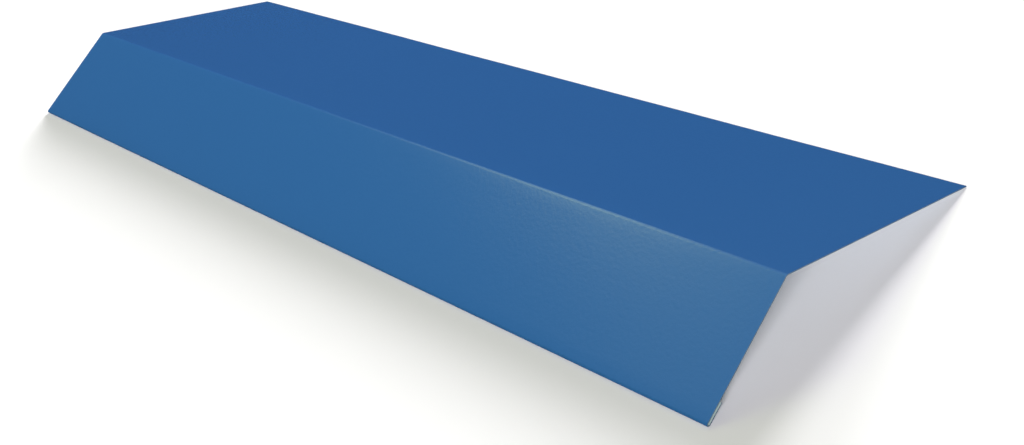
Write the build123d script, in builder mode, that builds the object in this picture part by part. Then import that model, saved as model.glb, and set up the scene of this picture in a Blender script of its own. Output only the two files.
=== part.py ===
"""Eaves flashing: one length of colour-coated steel sheet, folded to an open angle.

A wide flange lies on the roof deck, a narrower face hangs in front of the eaves board,
and the foot of the face is turned back on itself in an open hem. The piece rests on a
level floor on two edges: the fold of the hem in front and the edge of the flange behind.
The origin is in the middle of the floor area that it covers. +X runs along the piece,
+Y from the face towards the back edge of the flange, and +Z up.
"""

import os
from math import asin, atan2, cos, degrees, sin

from build123d import *

# Driving dimensions, in millimetres and degrees
length = 570.0  # along the eaves
flange_width = 132.0  # from the corner of the bend to the back edge
face_width = 65.0  # from the corner of the bend to the foot of the fold
bend_angle = 135.0  # between the flange and the face
bend_radius = 2.0  # inside the bend
hem_depth = 10.5  # from the foot of the fold to the cut edge of the return
hem_gap = 1.1  # clear space between the face and the return
sheet = 0.5  # thickness of the steel with its coatings

# Radii of the outer skin
bend_skin_radius = bend_radius + sheet
fold_skin_radius = hem_gap / 2 + sheet

# The section is drawn in its own plane: the flange runs along +X from the corner of the
# bend, its upper side lies on the X axis, and the face goes down and forward.
corner = Vector(0, 0)
face_direction = Vector(1, 0).rotate(Axis.Z, -bend_angle)
face_inward = face_direction.rotate(Axis.Z, 90)
back_edge = Vector(flange_width, 0)
fold_start = corner + face_direction * (face_width - fold_skin_radius)
fold_centre = fold_start + face_inward * fold_skin_radius
return_length = hem_depth - fold_skin_radius

# The floor touches the fold from below and passes through the lower corner of the back edge
back_foot = back_edge - Vector(0, sheet)
span = back_foot - fold_centre
floor_angle = atan2(span.Y, span.X) + asin(fold_skin_radius / span.length)


def height_above_floor(point: Vector) -> float:
    """Height of a point of the section above the floor that the piece rests on."""
    above = point - back_foot
    return above.Y * cos(floor_angle) - above.X * sin(floor_angle)


def depth_along_floor(point: Vector) -> float:
    """Distance of a point of the section from the corner of the bend, along the floor."""
    return point.X * cos(floor_angle) + point.Y * sin(floor_angle)


front_limit = depth_along_floor(fold_centre) - fold_skin_radius
back_limit = depth_along_floor(back_edge)
middle = (front_limit + back_limit) / 2

section_plane = Plane(
    origin=(-length / 2, -middle, height_above_floor(corner)),
    x_dir=(0, cos(floor_angle), -sin(floor_angle)),
    z_dir=(1, 0, 0),
)

with BuildPart() as flashing:
    with BuildSketch(section_plane) as section:
        with BuildLine() as outer_skin:
            flange_and_face = FilletPolyline(
                back_edge, corner, fold_start, radius=bend_skin_radius
            )
            fold = JernArc(
                start=flange_and_face @ 1,
                tangent=flange_and_face % 1,
                radius=fold_skin_radius,
                arc_size=180,
            )
            hem_return = PolarLine(
                start=fold @ 1,
                length=return_length,
                direction=fold % 1,
            )
            offset(amount=sheet, side=Side.LEFT)
        make_face()
    extrude(amount=length)

flashing.part.label = "flashing"

os.makedirs("parts", exist_ok=True)
export_step(flashing.part, "parts/flashing.step")

box = flashing.part.bounding_box()
print(f"flange slopes {degrees(floor_angle):.2f} degrees to the back")
print(f"box {box.size.X:.2f} x {box.size.Y:.2f} x {box.size.Z:.2f} mm")
print(f"volume {flashing.part.volume:.1f} mm3")
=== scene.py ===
"""Eaves flashing: its sheet and finishes, the floor that it rests on, the light and the camera.

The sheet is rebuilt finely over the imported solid: the same section, with smooth bends, a
coat of colour outside, a plain back coat inside and bare metal on the cut edges. All
lengths are in metres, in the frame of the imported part.
"""

import logging
import math
from dataclasses import dataclass
from enum import Enum

import bmesh
import bpy
from mathutils import Euler, Matrix, Vector


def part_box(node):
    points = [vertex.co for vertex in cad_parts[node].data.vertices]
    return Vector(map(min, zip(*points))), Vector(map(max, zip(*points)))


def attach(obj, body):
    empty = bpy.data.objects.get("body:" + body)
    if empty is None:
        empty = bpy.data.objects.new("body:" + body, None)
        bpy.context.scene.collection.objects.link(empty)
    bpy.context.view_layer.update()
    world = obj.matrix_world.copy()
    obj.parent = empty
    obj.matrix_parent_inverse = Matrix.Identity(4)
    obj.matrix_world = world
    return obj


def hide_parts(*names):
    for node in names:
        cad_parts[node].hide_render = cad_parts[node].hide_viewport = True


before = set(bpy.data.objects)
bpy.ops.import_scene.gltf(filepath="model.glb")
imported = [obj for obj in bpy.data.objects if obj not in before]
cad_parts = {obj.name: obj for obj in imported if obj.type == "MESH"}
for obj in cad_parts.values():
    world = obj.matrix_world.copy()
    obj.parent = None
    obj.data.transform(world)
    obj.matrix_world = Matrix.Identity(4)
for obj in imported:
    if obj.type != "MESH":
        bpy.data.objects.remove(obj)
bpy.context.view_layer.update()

log = logging.getLogger("eaves_flashing")

MM = 0.001
NODE = "flashing"
WHITE = (1.0, 1.0, 1.0, 1.0)

Amount = float | bpy.types.NodeSocket
Colour = tuple[float, float, float]


class Surface(Enum):
    """The surfaces of the sheet, by their place among the piece's materials."""

    TOP_COAT = 0
    BACK_COAT = 1
    CUT_EDGE = 2


@dataclass(frozen=True)
class Station:
    """A place on the path of the section's outer skin.

    Attributes:
        point: Place in the section's plane, with the corner of the bend at its origin.
        inward: Unit direction from the outer skin to the inner one.
        lift: Share of the flange's wave that the sheet has here, from 0 to 1.
        sway: Share of the face's wave that the sheet has here, from 0 to 1.
    """

    point: Vector
    inward: Vector
    lift: float = 0.0
    sway: float = 0.0


@dataclass(frozen=True)
class Section:
    """The folded section: flange, bend, face and open hem.

    Attributes:
        flange_width: From the corner of the bend to the back edge.
        face_width: From the corner of the bend to the foot of the fold.
        bend_angle: Angle between the flange and the face.
        bend_radius: Radius inside the bend.
        hem_depth: From the foot of the fold to the cut edge of the return.
        hem_gap: Clear space between the face and the return.
        sheet: Thickness of the sheet.
        flange_steps: Stations on the flange.
        bend_steps: Steps round the bend.
        face_steps: Steps down the face.
        fold_steps: Steps round the fold of the hem.
        return_steps: Steps up the return.
    """

    flange_width: float = 132.0 * MM
    face_width: float = 65.0 * MM
    bend_angle: float = math.radians(135.0)
    bend_radius: float = 2.0 * MM
    hem_depth: float = 10.5 * MM
    hem_gap: float = 1.1 * MM
    sheet: float = 0.5 * MM
    flange_steps: int = 16
    bend_steps: int = 12
    face_steps: int = 10
    fold_steps: int = 18
    return_steps: int = 3

    @property
    def bend_skin_radius(self) -> float:
        """Radius of the outer skin round the bend."""
        return self.bend_radius + self.sheet

    @property
    def fold_skin_radius(self) -> float:
        """Radius of the outer skin round the fold of the hem."""
        return self.hem_gap / 2 + self.sheet

    @property
    def face_direction(self) -> Vector:
        """Unit direction down the face, from the bend to the fold."""
        return Vector((math.cos(self.bend_angle), -math.sin(self.bend_angle)))

    @property
    def face_inward(self) -> Vector:
        """Unit direction from the outer skin of the face to its inner skin."""
        return self.face_direction.orthogonal()

    @property
    def fold_centre(self) -> Vector:
        """Centre of the fold of the hem."""
        start = self.face_direction * (self.face_width - self.fold_skin_radius)
        return start + self.face_inward * self.fold_skin_radius

    @property
    def floor_angle(self) -> float:
        """Slope of the flange when the fold and the back edge both lie on the floor."""
        back_foot = Vector((self.flange_width, -self.sheet))
        span = back_foot - self.fold_centre
        return math.atan2(span.y, span.x) + math.asin(self.fold_skin_radius / span.length)

    @property
    def upright(self) -> Vector:
        """Unit direction straight up from the floor."""
        return Vector((-math.sin(self.floor_angle), math.cos(self.floor_angle)))

    def stations(self) -> list[Station]:
        """Follows the outer skin from the back edge of the flange to the end of the hem.

        Returns:
            The stations in order. The inner skin lies one sheet's thickness inward of them.
        """
        tangent = self.bend_skin_radius * math.tan((math.pi - self.bend_angle) / 2)
        down, into = self.face_direction, self.face_inward
        path: list[Station] = []
        for step in range(self.flange_steps):
            share = 1 - step / self.flange_steps
            along = tangent + (self.flange_width - tangent) * share
            path.append(Station(Vector((along, 0)), Vector((0, -1)), lift=share * share))
        bend_centre = Vector((tangent, -self.bend_skin_radius))
        path += arc(bend_centre, self.bend_skin_radius, math.pi / 2,
                    math.pi - self.bend_angle, self.bend_steps)
        face_end = self.face_width - self.fold_skin_radius
        for step in range(1, self.face_steps):
            share = step / self.face_steps
            along = tangent + (face_end - tangent) * share
            path.append(Station(down * along, into.copy(), sway=math.sin(math.pi * share)))
        outward = -into
        path += arc(self.fold_centre, self.fold_skin_radius,
                    math.atan2(outward.y, outward.x), math.pi, self.fold_steps)
        fold_end = path[-1].point
        reach = self.hem_depth - self.fold_skin_radius
        for step in range(1, self.return_steps + 1):
            back_up = fold_end - down * (reach * step / self.return_steps)
            path.append(Station(back_up, -into))
        return path


def arc(centre: Vector, radius: float, start: float, turn: float, steps: int) -> list[Station]:
    """Stations along an arc that turns counter-clockwise.

    Args:
        centre: Centre of the arc.
        radius: Radius of the outer skin.
        start: Angle of the first station, seen from the centre.
        turn: Angle that the arc covers.
        steps: How many equal steps it takes.

    Returns:
        The stations, both ends included.
    """
    path = []
    for step in range(steps + 1):
        angle = start + turn * step / steps
        outward = Vector((math.cos(angle), math.sin(angle)))
        path.append(Station(centre + outward * radius, -outward))
    return path


@dataclass(frozen=True)
class Wave:
    """A slight unevenness along the sheet, as rolled and folded sheet has.

    Attributes:
        height: How far the sheet leaves its flat place at most.
        lengths: Wavelengths of its two parts, along the piece.
        starts: Where the two parts start, as angles.
    """

    height: float
    lengths: tuple[float, float]
    starts: tuple[float, float]

    def at(self, along: float) -> float:
        """Departure from the flat place, between 0 and the height.

        Args:
            along: Place along the piece.

        Returns:
            The departure in metres.
        """
        parts = [
            math.sin(math.tau * along / length + start)
            for length, start in zip(self.lengths, self.starts)
        ]
        share = (len(parts) + sum(parts)) / (2 * len(parts))
        return self.height * share


class Graph:
    """A node tree with short calls to fill it."""

    def __init__(self, tree: bpy.types.NodeTree) -> None:
        """Starts on an empty tree.

        Args:
            tree: The tree to fill. What it holds is removed.
        """
        self.tree = tree
        tree.nodes.clear()

    def add(self, kind: str, settings: dict[str, object] | None = None,
            **values: object) -> bpy.types.Node:
        """Adds one node.

        Args:
            kind: Blender's name for the node's type.
            settings: Properties of the node itself.
            **values: Values of its inputs, with underscores for the spaces in their names.

        Returns:
            The node.
        """
        node = self.tree.nodes.new(kind)
        for name, value in (settings or {}).items():
            setattr(node, name, value)
        for name, value in values.items():
            node.inputs[name.replace("_", " ")].default_value = value
        return node

    def link(self, source: bpy.types.NodeSocket, target: bpy.types.NodeSocket) -> None:
        """Joins an output to an input."""
        self.tree.links.new(source, target)

    def math(self, operation: str, first: Amount, second: Amount = 0.0) -> bpy.types.NodeSocket:
        """Adds a math node.

        Args:
            operation: Blender's name for the operation.
            first: A number or the socket that gives it.
            second: The same for its second input, where the operation has one.

        Returns:
            The socket with the result.
        """
        node = self.add("ShaderNodeMath", {"operation": operation})
        for socket, value in zip(node.inputs, (first, second)):
            if isinstance(value, bpy.types.NodeSocket):
                self.link(value, socket)
            else:
                socket.default_value = value
        return node.outputs[0]

    def dot(self, vector: bpy.types.NodeSocket, axis: Vector) -> bpy.types.NodeSocket:
        """Adds the dot product of a vector and a fixed axis.

        Args:
            vector: Socket with the vector.
            axis: The axis.

        Returns:
            The socket with the product.
        """
        node = self.add("ShaderNodeVectorMath", {"operation": "DOT_PRODUCT"})
        self.link(vector, node.inputs[0])
        node.inputs[1].default_value = axis
        return node.outputs["Value"]


class FilmTexture:
    """The texture of a coat or a bare edge, as a node group that all finishes share.

    Its grain is a fine mottle of the size given, and its drift a slow change of tone over
    some hundred millimetres.
    """

    NAME = "film_texture"
    INPUTS = (
        ("Colour", "NodeSocketColor"),
        ("Grain", "NodeSocketFloat"),
        ("Stretch", "NodeSocketVector"),
        ("Grain Tone", "NodeSocketFloat"),
        ("Drift Tone", "NodeSocketFloat"),
        ("Roughness", "NodeSocketFloat"),
        ("Roughness Spread", "NodeSocketFloat"),
    )
    OUTPUTS = (
        ("Colour", "NodeSocketColor"),
        ("Roughness", "NodeSocketFloat"),
        ("Height", "NodeSocketFloat"),
    )
    GRAIN_DETAIL = 3.0
    GRAIN_HARSHNESS = 0.6
    DRIFT_LENGTH = 160.0 * MM
    DRIFT_DETAIL = 2.0
    NOISE_MEAN = 0.5

    @classmethod
    def group(cls) -> bpy.types.NodeTree:
        """Builds the group once.

        Returns:
            The node group.
        """
        known = bpy.data.node_groups.get(cls.NAME)
        if known:
            return known
        tree = bpy.data.node_groups.new(cls.NAME, "ShaderNodeTree")
        for name, kind in cls.INPUTS:
            tree.interface.new_socket(name=name, in_out="INPUT", socket_type=kind)
        for name, kind in cls.OUTPUTS:
            tree.interface.new_socket(name=name, in_out="OUTPUT", socket_type=kind)
        graph = Graph(tree)
        given = graph.add("NodeGroupInput").outputs
        result = graph.add("NodeGroupOutput").inputs
        place = graph.add("ShaderNodeTexCoord").outputs["Object"]

        stretched = graph.add("ShaderNodeVectorMath", {"operation": "MULTIPLY"})
        graph.link(place, stretched.inputs[0])
        graph.link(given["Stretch"], stretched.inputs[1])
        grain = graph.add("ShaderNodeTexNoise", Detail=cls.GRAIN_DETAIL,
                          Roughness=cls.GRAIN_HARSHNESS)
        graph.link(stretched.outputs[0], grain.inputs["Vector"])
        graph.link(graph.math("DIVIDE", 1.0, given["Grain"]), grain.inputs["Scale"])
        drift = graph.add("ShaderNodeTexNoise", Detail=cls.DRIFT_DETAIL,
                          Scale=1 / cls.DRIFT_LENGTH)
        graph.link(place, drift.inputs["Vector"])

        grain_swing = graph.math("SUBTRACT", grain.outputs["Fac"], cls.NOISE_MEAN)
        drift_swing = graph.math("SUBTRACT", drift.outputs["Fac"], cls.NOISE_MEAN)
        tone = graph.math(
            "ADD",
            graph.math("MULTIPLY", grain_swing, given["Grain Tone"]),
            graph.math("MULTIPLY", drift_swing, given["Drift Tone"]),
        )
        shaded = graph.add("ShaderNodeHueSaturation")
        graph.link(given["Colour"], shaded.inputs["Color"])
        graph.link(graph.math("ADD", tone, 1.0), shaded.inputs["Value"])
        graph.link(shaded.outputs["Color"], result["Colour"])
        spread = graph.math("MULTIPLY", grain_swing, given["Roughness Spread"])
        graph.link(graph.math("ADD", spread, given["Roughness"]), result["Roughness"])
        graph.link(grain.outputs["Fac"], result["Height"])
        return tree


@dataclass(frozen=True)
class Finish:
    """One surface finish of the sheet.

    Attributes:
        name: Name of the material.
        colour: Base colour, linear.
        roughness: Mean roughness.
        roughness_spread: Change of roughness from grain to grain.
        grain: Size of the mottle.
        grain_tone: Change of tone from grain to grain.
        relief: Height of the grain.
        drift_tone: Slow change of tone over the sheet.
        stretch: How often the grain repeats along each axis, as a factor.
        metallic: 1 for bare metal, 0 for a coat.
        refraction: Refractive index, which sets how strong the gloss is.
    """

    name: str
    colour: Colour
    roughness: float
    roughness_spread: float
    grain: float
    grain_tone: float
    relief: float
    drift_tone: float = 0.0
    stretch: tuple[float, float, float] = (1.0, 1.0, 1.0)
    metallic: float = 0.0
    refraction: float = 1.5

    def material(self) -> bpy.types.Material:
        """Builds the material.

        Returns:
            A material with the shared texture on one Principled shader.
        """
        made = bpy.data.materials.new(self.name)
        made.use_nodes = True
        graph = Graph(made.node_tree)
        texture = graph.add("ShaderNodeGroup", {"node_tree": FilmTexture.group()})
        for name, value in (
            ("Colour", (*self.colour, 1.0)),
            ("Grain", self.grain),
            ("Stretch", self.stretch),
            ("Grain Tone", self.grain_tone),
            ("Drift Tone", self.drift_tone),
            ("Roughness", self.roughness),
            ("Roughness Spread", self.roughness_spread),
        ):
            texture.inputs[name].default_value = value
        relief = graph.add("ShaderNodeBump", Strength=1.0, Distance=self.relief)
        graph.link(texture.outputs["Height"], relief.inputs["Height"])
        shader = graph.add("ShaderNodeBsdfPrincipled", Metallic=self.metallic,
                           IOR=self.refraction)
        graph.link(texture.outputs["Colour"], shader.inputs["Base Color"])
        graph.link(texture.outputs["Roughness"], shader.inputs["Roughness"])
        graph.link(relief.outputs["Normal"], shader.inputs["Normal"])
        output = graph.add("ShaderNodeOutputMaterial")
        graph.link(shader.outputs["BSDF"], output.inputs["Surface"])
        return made


FINISHES: dict[Surface, Finish] = {
    Surface.TOP_COAT: Finish(
        name="blue_top_coat",
        colour=(0.0238, 0.113, 0.322),
        roughness=0.14,
        roughness_spread=0.20,
        grain=1.8 * MM,
        grain_tone=0.06,
        relief=0.05 * MM,
        drift_tone=0.03,
    ),
    Surface.BACK_COAT: Finish(
        name="grey_back_coat",
        colour=(0.42, 0.50, 0.58),
        roughness=0.42,
        roughness_spread=0.20,
        grain=1.8 * MM,
        grain_tone=0.08,
        relief=0.04 * MM,
        drift_tone=0.05,
    ),
    Surface.CUT_EDGE: Finish(
        name="sheared_steel_edge",
        colour=(0.16, 0.24, 0.38),
        roughness=0.45,
        roughness_spread=0.20,
        grain=0.25 * MM,
        grain_tone=0.50,
        relief=0.01 * MM,
        stretch=(1.0, 1.0, 0.3),
        metallic=0.3,
    ),
}


@dataclass(frozen=True)
class Flashing:
    """The folded sheet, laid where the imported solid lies.

    Attributes:
        name: Name of the piece.
        section: Its folded section.
        length_steps: Steps along the piece.
        arris: How much is taken off the cut edges.
        arris_steps: Steps round an arris.
        arris_roundness: Form of the arris, where 0.5 is round.
        sharp_from: Angle between two faces at which the shading breaks.
        box_play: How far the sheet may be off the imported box.
        flange_wave: Unevenness of the flange, most at its back edge.
        face_wave: Unevenness of the face, most halfway down.
    """

    name: str = "folded_sheet"
    section: Section = Section()
    length_steps: int = 120
    arris: float = 0.06 * MM
    arris_steps: int = 2
    arris_roundness: float = 0.5
    sharp_from: float = math.radians(20.0)
    box_play: float = 0.2 * MM
    flange_wave: Wave = Wave(0.15 * MM, (0.23, 0.131), (0.4, 2.1))
    face_wave: Wave = Wave(0.10 * MM, (0.19, 0.097), (1.3, 0.2))

    def build(self) -> bpy.types.Object:
        """Builds the sheet and dresses it.

        Returns:
            The piece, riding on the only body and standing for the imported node.
        """
        mesh = bpy.data.meshes.new(self.name)
        shape = self.shape()
        shape.to_mesh(mesh)
        shape.free()
        for surface in Surface:
            mesh.materials.append(FINISHES[surface].material())
        piece = bpy.data.objects.new(self.name, mesh)
        bpy.context.scene.collection.objects.link(piece)
        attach(piece, "root")
        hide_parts(NODE)
        return piece

    def shape(self) -> bmesh.types.BMesh:
        """Makes the closed sheet with its two skins and its cut edges.

        Returns:
            The mesh, which the caller frees.
        """
        low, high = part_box(NODE)
        path = self.section.stations()
        upright = self.section.upright
        shape = bmesh.new()
        outer, inner = [], []
        for step in range(self.length_steps + 1):
            x = low.x + (high.x - low.x) * step / self.length_steps
            outer.append([])
            inner.append([])
            for station in path:
                skin = station.point + upright * (station.lift * self.flange_wave.at(x))
                skin -= station.inward * (station.sway * self.face_wave.at(x))
                back = skin + station.inward * self.section.sheet
                outer[-1].append(shape.verts.new(self.placed(x, skin, low)))
                inner[-1].append(shape.verts.new(self.placed(x, back, low)))

        last, end = self.length_steps, len(path) - 1
        for i in range(last):
            for j in range(end):
                here, onward, across, beside = (i, j), (i, j + 1), (i + 1, j + 1), (i + 1, j)
                quad(shape, outer, (here, onward, across, beside), Surface.TOP_COAT)
                quad(shape, inner, (here, beside, across, onward), Surface.BACK_COAT)
            for j in (0, end):
                strip(shape, outer[i][j], outer[i + 1][j], inner[i + 1][j], inner[i][j])
        for i in (0, last):
            for j in range(end):
                strip(shape, outer[i][j], outer[i][j + 1], inner[i][j + 1], inner[i][j])
        bmesh.ops.recalc_face_normals(shape, faces=shape.faces)
        self.break_edges(shape)
        self.check_box(shape, low, high)
        return shape

    def placed(self, x: float, point: Vector, low: Vector) -> Vector:
        """Takes a point of the section to its place on the floor.

        Args:
            x: Place along the piece.
            point: Point in the section's plane.
            low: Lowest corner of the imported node.

        Returns:
            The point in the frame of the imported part.
        """
        angle = self.section.floor_angle
        foot = self.section.fold_centre
        radius = self.section.fold_skin_radius
        turn = Matrix.Rotation(-angle, 2)
        from_foot = turn @ (point - foot)
        return Vector((x, low.y + radius + from_foot.x, low.z + radius + from_foot.y))

    def break_edges(self, shape: bmesh.types.BMesh) -> None:
        """Takes the arris off the cut edges and marks where the shading breaks.

        Args:
            shape: The closed sheet. It is changed in place.
        """
        cut = Surface.CUT_EDGE.value
        arrises = [
            edge for edge in shape.edges
            if sum(face.material_index == cut for face in edge.link_faces) == 1
        ]
        bmesh.ops.bevel(shape, geom=arrises, offset=self.arris, offset_type="OFFSET",
                        segments=self.arris_steps, profile=self.arris_roundness,
                        affect="EDGES", clamp_overlap=True, material=cut)
        for face in shape.faces:
            face.smooth = True
        for edge in shape.edges:
            edge.smooth = edge.calc_face_angle(0.0) < self.sharp_from

    def check_box(self, shape: bmesh.types.BMesh, low: Vector, high: Vector) -> None:
        """Stops the script if the sheet isn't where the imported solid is.

        Args:
            shape: The finished sheet.
            low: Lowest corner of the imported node.
            high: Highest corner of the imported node.

        Raises:
            ValueError: The two boxes differ by more than the play allowed.
        """
        for axis in range(3):
            reach = [vert.co[axis] for vert in shape.verts]
            play = max(abs(min(reach) - low[axis]), abs(max(reach) - high[axis]))
            if play > self.box_play:
                raise ValueError(f"axis {axis}: the sheet is {play / MM:.2f} mm off the packed box")


def quad(shape: bmesh.types.BMesh, grid: list[list[bmesh.types.BMVert]],
         places: tuple[tuple[int, int], ...], surface: Surface) -> None:
    """Adds one face of a skin.

    Args:
        shape: The mesh that gets the face.
        grid: Vertices of the skin, by place along the piece and along the path.
        places: Places of its four corners in the grid, in order.
        surface: Surface that the face belongs to.
    """
    face = shape.faces.new([grid[i][j] for i, j in places])
    face.material_index = surface.value


def strip(shape: bmesh.types.BMesh, *corners: bmesh.types.BMVert) -> None:
    """Adds one face of a cut edge.

    Args:
        shape: The mesh that gets the face.
        *corners: Its four corners in order.
    """
    face = shape.faces.new(corners)
    face.material_index = Surface.CUT_EDGE.value


def towards(bearing: float, height: float) -> Vector:
    """Unit direction from the piece to a light.

    Args:
        bearing: Bearing of the light, in degrees from +Y towards +X.
        height: Its height above the floor, in degrees.

    Returns:
        The direction.
    """
    turn, rise = math.radians(bearing), math.radians(height)
    flat = math.cos(rise)
    return Vector((math.sin(turn) * flat, math.cos(turn) * flat, math.sin(rise)))


class Receivers(Enum):
    """What a lamp lights."""

    PIECE = "piece"
    FLOOR = "floor"


@dataclass(frozen=True)
class Lamp:
    """A soft lamp. It doesn't show in the gloss, which only reflects the room.

    Attributes:
        name: Name of the lamp.
        bearing: Where it stands seen from the piece, in degrees from +Y towards +X.
        height: Its height above the floor seen from the piece, in degrees.
        level: How bright a white surface looks that faces it from the piece's middle.
        width: How wide it looks from the piece, in degrees.
        colour: Its colour.
        lights: What it lights.
        distance: How far it is from the piece. Without an end, the lamp is a sun.
    """

    # A sun lights the scene alike from any place
    SUN_PLACE = 1.0

    name: str
    bearing: float
    height: float
    level: float
    width: float
    colour: Colour
    lights: Receivers
    distance: float = math.inf

    @property
    def direction(self) -> Vector:
        """Unit direction from the piece to the lamp."""
        return towards(self.bearing, self.height)

    def hang(self, receivers: dict[Receivers, bpy.types.Collection]) -> bpy.types.Object:
        """Puts the lamp into the scene.

        Args:
            receivers: The collection that each choice of receivers stands for.

        Returns:
            The lamp.
        """
        width = math.radians(self.width)
        # A white surface returns 1 / pi of the light that falls on it
        fall = math.pi * self.level
        if math.isinf(self.distance):
            data = bpy.data.lights.new(self.name, "SUN")
            data.energy = fall
            data.angle = width
            place = self.SUN_PLACE
        else:
            data = bpy.data.lights.new(self.name, "POINT")
            data.energy = fall * 4 * math.pi * self.distance ** 2
            data.shadow_soft_size = self.distance * math.tan(width / 2)
            place = self.distance
        data.color = self.colour
        lamp = bpy.data.objects.new(self.name, data)
        lamp.location = self.direction * place
        lamp.rotation_euler = self.direction.to_track_quat("Z", "Y").to_euler()
        lamp.visible_glossy = False
        bpy.context.scene.collection.objects.link(lamp)
        lamp.light_linking.receiver_collection = receivers[self.lights]
        return lamp


@dataclass(frozen=True)
class SoftBox:
    """A long box of soft light in the room, brightest in its middle.

    Attributes:
        bearing: Where its middle stands seen from the piece, in degrees from +Y towards +X.
        height: Height of its middle above the floor seen from the piece, in degrees.
        turn: How far its long side leaves the level, in degrees.
        length: How far along it the light has faded to about a third, in degrees.
        breadth: How far across it the light has faded to about a third, in degrees.
        level: How bright its middle is, where 1 is white.
    """

    bearing: float
    height: float
    turn: float
    length: float
    breadth: float
    level: float

    @property
    def axes(self) -> tuple[Vector, Vector, Vector]:
        """Unit directions to its middle, along it and across it."""
        bearing, turn = math.radians(self.bearing), math.radians(self.turn)
        middle = towards(self.bearing, self.height)
        level = Vector((math.cos(bearing), -math.sin(bearing), 0.0))
        steep = level.cross(middle)
        along = level * math.cos(turn) + steep * math.sin(turn)
        return middle, along, middle.cross(along)

    def light(self, graph: Graph, direction: bpy.types.NodeSocket) -> bpy.types.NodeSocket:
        """Adds the box to the nodes of the room.

        Args:
            graph: Nodes of the room.
            direction: Socket with the direction that is looked in.

        Returns:
            The socket with its brightness in that direction.
        """
        middle, along, across = self.axes
        far_along = graph.dot(direction, along / math.sin(math.radians(self.length)))
        far_across = graph.dot(direction, across / math.sin(math.radians(self.breadth)))
        far = graph.math(
            "ADD",
            graph.math("MULTIPLY", far_along, far_along),
            graph.math("MULTIPLY", far_across, far_across),
        )
        fade = graph.math("EXPONENT", graph.math("MULTIPLY", far, -1.0))
        facing = graph.math("GREATER_THAN", graph.dot(direction, middle), 0.0)
        return graph.math("MULTIPLY", graph.math("MULTIPLY", fade, facing), self.level)


@dataclass(frozen=True)
class Camera:
    """The camera of the photograph, found from the straight edges of the piece.

    Attributes:
        name: Name of the camera.
        place: Where it stands.
        bearing: Where it looks, in degrees from +Y towards +X.
        down: How far it looks down, in degrees.
        roll: How far it is turned about its own line of sight, in degrees.
        sensor: Width of the sensor, in millimetres.
        lens: Focal length, in millimetres.
        shift: How far the picture's centre lies from the line of sight, in picture widths.
        near: Nearest distance that it shows.
        far: Farthest distance that it shows.
    """

    name: str = "photo_camera"
    place: tuple[float, float, float] = (0.55287, -0.35058, 0.33251)
    bearing: float = -52.844
    down: float = 27.907
    roll: float = -13.838
    sensor: float = 36.0
    lens: float = 46.013
    shift: float = -0.0815
    near: float = 0.01
    far: float = 100.0

    def mount(self) -> bpy.types.Object:
        """Puts the camera into the scene and makes it the active one.

        Returns:
            The camera.
        """
        data = bpy.data.cameras.new(self.name)
        data.sensor_width = self.sensor
        data.lens = self.lens
        data.shift_y = self.shift
        data.clip_start = self.near
        data.clip_end = self.far
        camera = bpy.data.objects.new(self.name, data)
        level = Euler((math.radians(90 - self.down), 0, math.radians(-self.bearing)))
        turn = level.to_matrix() @ Matrix.Rotation(math.radians(self.roll), 3, "Z")
        camera.matrix_world = Matrix.Translation(self.place) @ turn.to_4x4()
        bpy.context.scene.collection.objects.link(camera)
        bpy.context.scene.camera = camera
        return camera


FLOOR_LIGHT: Colour = (1.02, 1.0, 1.035)


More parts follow.
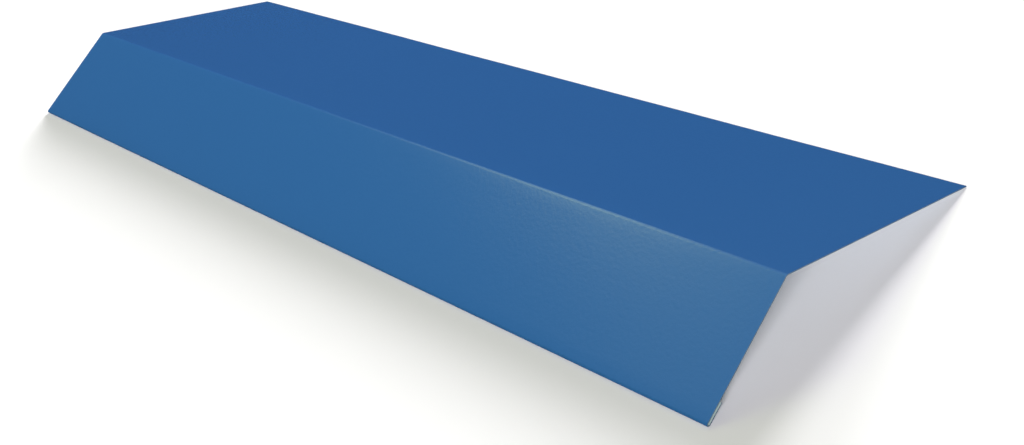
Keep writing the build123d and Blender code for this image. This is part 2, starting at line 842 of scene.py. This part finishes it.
@dataclass(frozen=True)
class Studio:
    """The pale floor, the dim room with its soft boxes, and the lamps.

    Attributes:
        floor_reach: How far the floor reaches from its middle.
        floor_colour: Colour of the floor, linear.
        room_low: How bright the room is at the horizon and below, where 1 is white.
        room_high: How bright it is straight overhead.
        box_colour: Colour of the soft boxes.
        boxes: The soft boxes, which give the sheen of the face and of the bend.
        lamps: The lamps. The piece and the floor have their own.
    """

    floor_reach: float = 40.0
    floor_colour: Colour = (0.95, 0.95, 0.95)
    room_low: float = 0.02
    room_high: float = 0.12
    box_colour: Colour = (0.88, 1.05, 0.45)
    boxes: tuple[SoftBox, ...] = (
        SoftBox(bearing=-96.1, height=49.0, turn=0.0, length=4.5, breadth=4.5, level=3.3),
        SoftBox(bearing=-71.9, height=46.7, turn=-26.7, length=21.8, breadth=6.4, level=2.55),
    )
    lamps: tuple[Lamp, ...] = (
        Lamp("back_lamp", bearing=-30.0, height=50.0, level=0.785, width=12.0,
             colour=(1.0, 1.0, 1.20), lights=Receivers.PIECE, distance=1.82),
        Lamp("front_lamp", bearing=140.0, height=32.0, level=0.93, width=12.0,
             colour=(0.97, 1.0, 0.81), lights=Receivers.PIECE),
        Lamp("floor_back_lamp", bearing=-20.0, height=21.0, level=0.95, width=14.0,
             colour=FLOOR_LIGHT, lights=Receivers.FLOOR),
        Lamp("floor_low_lamp", bearing=-35.0, height=13.0, level=0.90, width=16.0,
             colour=FLOOR_LIGHT, lights=Receivers.FLOOR),
        Lamp("floor_right_lamp", bearing=148.0, height=23.0, level=1.15, width=20.0,
             colour=FLOOR_LIGHT, lights=Receivers.FLOOR),
    )

    def set_up(self, piece: bpy.types.Object) -> None:
        """Builds the studio round the piece.

        Args:
            piece: The flashing.
        """
        floor = self.floor()
        receivers = {
            Receivers.PIECE: self.receiver("piece_only", piece),
            Receivers.FLOOR: self.receiver("floor_only", floor),
        }
        for lamp in self.lamps:
            lamp.hang(receivers)
        self.room()

    @staticmethod
    def receiver(name: str, target: bpy.types.Object) -> bpy.types.Collection:
        """Makes a collection that a lamp can be limited to.

        Args:
            name: Name of the collection.
            target: What it holds.

        Returns:
            The collection, which isn't in the scene itself.
        """
        made = bpy.data.collections.new(name)
        made.objects.link(target)
        return made

    def floor(self) -> bpy.types.Object:
        """Lays the floor under the piece. The gloss doesn't show it.

        Returns:
            The floor.
        """
        mesh = bpy.data.meshes.new("floor")
        shape = bmesh.new()
        bmesh.ops.create_grid(shape, x_segments=1, y_segments=1, size=self.floor_reach)
        shape.to_mesh(mesh)
        shape.free()
        made = bpy.data.materials.new("pale_floor")
        made.use_nodes = True
        graph = Graph(made.node_tree)
        matt = graph.add("ShaderNodeBsdfDiffuse", Color=(*self.floor_colour, 1.0))
        output = graph.add("ShaderNodeOutputMaterial")
        graph.link(matt.outputs["BSDF"], output.inputs["Surface"])
        mesh.materials.append(made)
        floor = bpy.data.objects.new("floor", mesh)
        floor.visible_glossy = False  # the piece in the photograph doesn't mirror it
        bpy.context.scene.collection.objects.link(floor)
        return floor

    def room(self) -> None:
        """Makes the room: dim at the horizon, brighter overhead, with its soft boxes.

        It gives the gloss and a little light. To the camera the backdrop is plain white.
        """
        world = bpy.data.worlds.new("room")
        bpy.context.scene.world = world
        world.use_nodes = True
        graph = Graph(world.node_tree)
        direction = graph.add("ShaderNodeTexCoord").outputs["Generated"]
        span = graph.add("ShaderNodeMapRange", From_Min=0.0, From_Max=1.0,
                         To_Min=self.room_low, To_Max=self.room_high)
        graph.link(graph.dot(direction, Vector((0.0, 0.0, 1.0))), span.inputs["Value"])
        walls = graph.add("ShaderNodeBackground", Color=WHITE)
        graph.link(span.outputs["Result"], walls.inputs["Strength"])
        glow: Amount = 0.0
        for box in self.boxes:
            glow = graph.math("ADD", box.light(graph, direction), glow)
        boxes = graph.add("ShaderNodeBackground", Color=(*self.box_colour, 1.0))
        graph.link(glow, boxes.inputs["Strength"])
        lit = graph.add("ShaderNodeAddShader")
        graph.link(walls.outputs[0], lit.inputs[0])
        graph.link(boxes.outputs[0], lit.inputs[1])
        backdrop = graph.add("ShaderNodeBackground", Color=WHITE, Strength=1.0)
        seen = graph.add("ShaderNodeMixShader")
        graph.link(graph.add("ShaderNodeLightPath").outputs["Is Camera Ray"], seen.inputs["Fac"])
        graph.link(lit.outputs[0], seen.inputs[1])
        graph.link(backdrop.outputs[0], seen.inputs[2])
        output = graph.add("ShaderNodeOutputWorld")
        graph.link(seen.outputs[0], output.inputs["Surface"])


def main() -> None:
    """Builds the piece, the studio and the camera."""
    logging.basicConfig(level=logging.INFO, format="%(name)s: %(message)s")
    bpy.context.scene.view_settings.view_transform = "Standard"
    piece = Flashing().build()
    log.info("%s: %d faces", piece.name, len(piece.data.polygons))
    studio = Studio()
    studio.set_up(piece)
    log.info("studio: %d lamps, %d soft boxes", len(studio.lamps), len(studio.boxes))
    camera = Camera().mount()
    log.info("%s: lens %.1f mm", camera.name, camera.data.lens)


if __name__ == "__main__":
    main()
